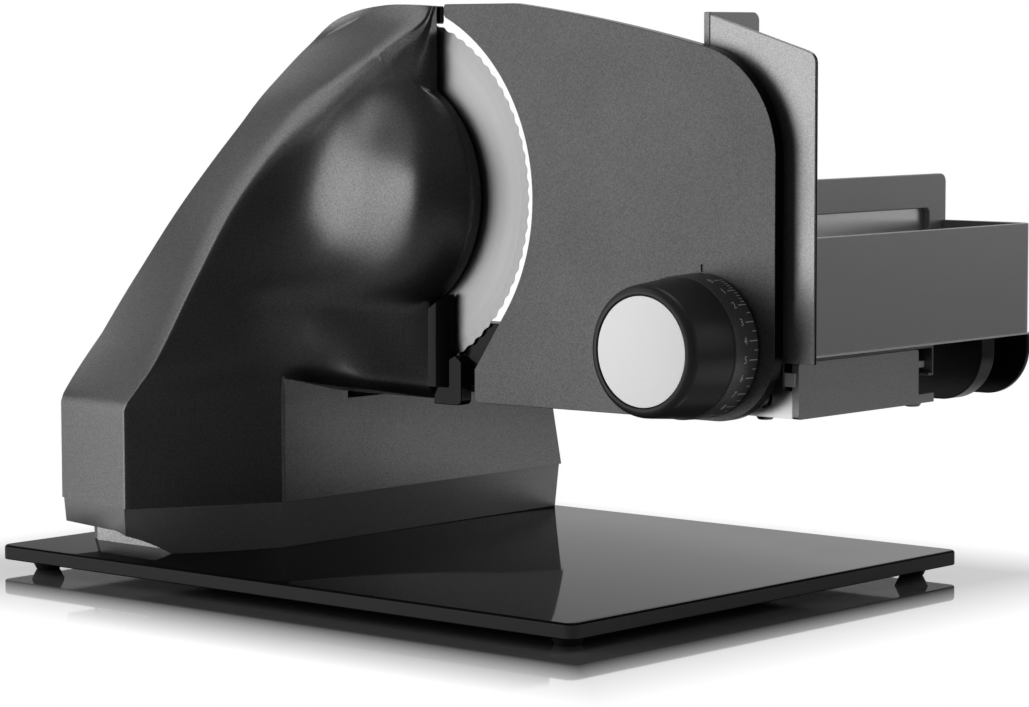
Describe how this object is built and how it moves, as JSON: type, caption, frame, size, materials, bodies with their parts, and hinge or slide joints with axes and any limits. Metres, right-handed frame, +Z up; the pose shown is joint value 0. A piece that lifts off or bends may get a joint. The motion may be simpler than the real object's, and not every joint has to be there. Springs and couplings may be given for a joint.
{
  "type": "food slicer",
  "caption": "Table-top slicer with a round wavy-edged blade on a leaning housing, a stop plate set by a dial, and a sliding food carriage on a glass base.",
  "frame": {"origin": "bottom centre of the machine's bounding box, on the surface it stands on", "axes": "+X towards the operator, +Y from the motor side to the food side, +Z up"},
  "size_m": [0.3906, 0.3096, 0.2697],
  "materials": {
    "black_glass": "polished, mirror-like",
    "anthracite_cast": "fine-grained powder coat",
    "anthracite_plate": "fine textured powder coat",
    "guard_plastic": "satin",
    "wall_plastic": "satin",
    "pan_plastic": "satin",
    "panel_grey": "matt",
    "black_gloss": "glossy",
    "black_satin": "satin",
    "foot_rubber": "matt",
    "bright_steel": "brushed",
    "blade_steel": "ground and polished",
    "shaft_steel": "turned",
    "glide_white": "smooth",
    "gear_nylon": "moulded",
    "cast_alloy": "as cast",
    "cap_aluminium": "brushed",
    "winding_copper": "lacquered",
    "lamination": "oiled",
    "board_green": "satin"
  },
  "bodies": {
    "machine": {"glass_base": "black_glass", "rubber_feet": "foot_rubber", "base_pan": "pan_plastic", "recess_panel": "panel_grey", "pan_screws": "shaft_steel", "housing_foot": "anthracite_cast", "housing_tower": "anthracite_cast", "gear_plate": "cast_alloy", "blade_bearing": "shaft_steel", "idler_axle": "shaft_steel", "rotor_bearings": "shaft_steel", "stator_core": "lamination", "field_coils": "winding_copper", "motor_frame": "cast_alloy", "brushes": "black_satin", "control_board": "board_green", "switch_frame": "black_satin", "cord_gland": "black_satin", "slice_deflector": "black_gloss", "deflector_foot": "black_gloss", "rail_saddle": "cast_alloy", "rail_bolts": "shaft_steel", "rail_base": "black_satin", "rail_sides": "black_satin", "rail_cover": "black_satin", "rail_sheet": "bright_steel", "rail_end_cap": "wall_plastic", "rail_studs": "shaft_steel", "glide_strips": "glide_white", "guide_blocks": "glide_white", "follower_arm": "cast_alloy"},
    "blade_group": {"blade": "blade_steel", "blade_gear": "gear_nylon", "blade_shaft": "shaft_steel", "blade_lock": "bright_steel"},
    "idler": {"idler_gear": "gear_nylon"},
    "rotor": {"rotor_pinion": "shaft_steel", "rotor_shaft": "shaft_steel", "rotor_core": "lamination", "cooling_fan": "black_satin"},
    "stop": {"stop_plate": "anthracite_plate", "guide_rods": "shaft_steel", "dial_spindle": "shaft_steel"},
    "dial": {"dial_grip": "black_satin", "scale_ring": "black_satin", "dial_cap": "cap_aluminium", "cam_drum": "glide_white"},
    "carriage": {"finger_guard": "guard_plastic", "pusher_wall": "wall_plastic", "pusher_liner": "bright_steel", "hand_box": "wall_plastic", "tray_plate": "bright_steel", "runner_channel": "anthracite_plate", "end_skirt": "black_satin", "carriage_screws": "shaft_steel"},
    "rocker": {"switch_rocker": "black_gloss"}
  },
  "joints": [
    {"name": "blade_spin", "type": "hinge", "parent": "machine", "child": "blade_group", "pos_m": [-0.04925, -0.03325, 0.18], "axis": [0, 1, 0], "continuous": true},
    {"name": "idler_spin", "type": "hinge", "parent": "machine", "child": "idler", "pos_m": [-0.09123, -0.04525, 0.14848], "axis": [0, 1, 0], "continuous": true},
    {"name": "rotor_spin", "type": "hinge", "parent": "machine", "child": "rotor", "pos_m": [-0.11549, -0.07325, 0.12154], "axis": [0, 1, 0], "continuous": true},
    {"name": "stop_slide", "type": "slide", "parent": "machine", "child": "stop", "axis": [0, -1, 0], "range_m": [0, 0.021]},
    {"name": "dial_turn", "type": "hinge", "parent": "stop", "child": "dial", "pos_m": [0.14075, -0.05825, 0.1185], "axis": [0, -1, 0], "range_deg": [0, 325.5]},
    {"name": "carriage_slide", "type": "slide", "parent": "machine", "child": "carriage", "axis": [-1, 0, 0], "range_m": [0, 0.195]},
    {"name": "rocker_tilt", "type": "hinge", "parent": "machine", "child": "rocker", "pos_m": [-0.17525, -0.05325, 0.059], "axis": [0, 0, 1], "range_deg": [0, 14]}
  ],
  "couplings": [
    {"joint": "idler_spin", "follows": "blade_spin", "ratio": -6},
    {"joint": "rotor_spin", "follows": "blade_spin", "ratio": 23},
    {"joint": "dial_turn", "follows": "stop_slide", "rad_per_m": 270.53}
  ]
}
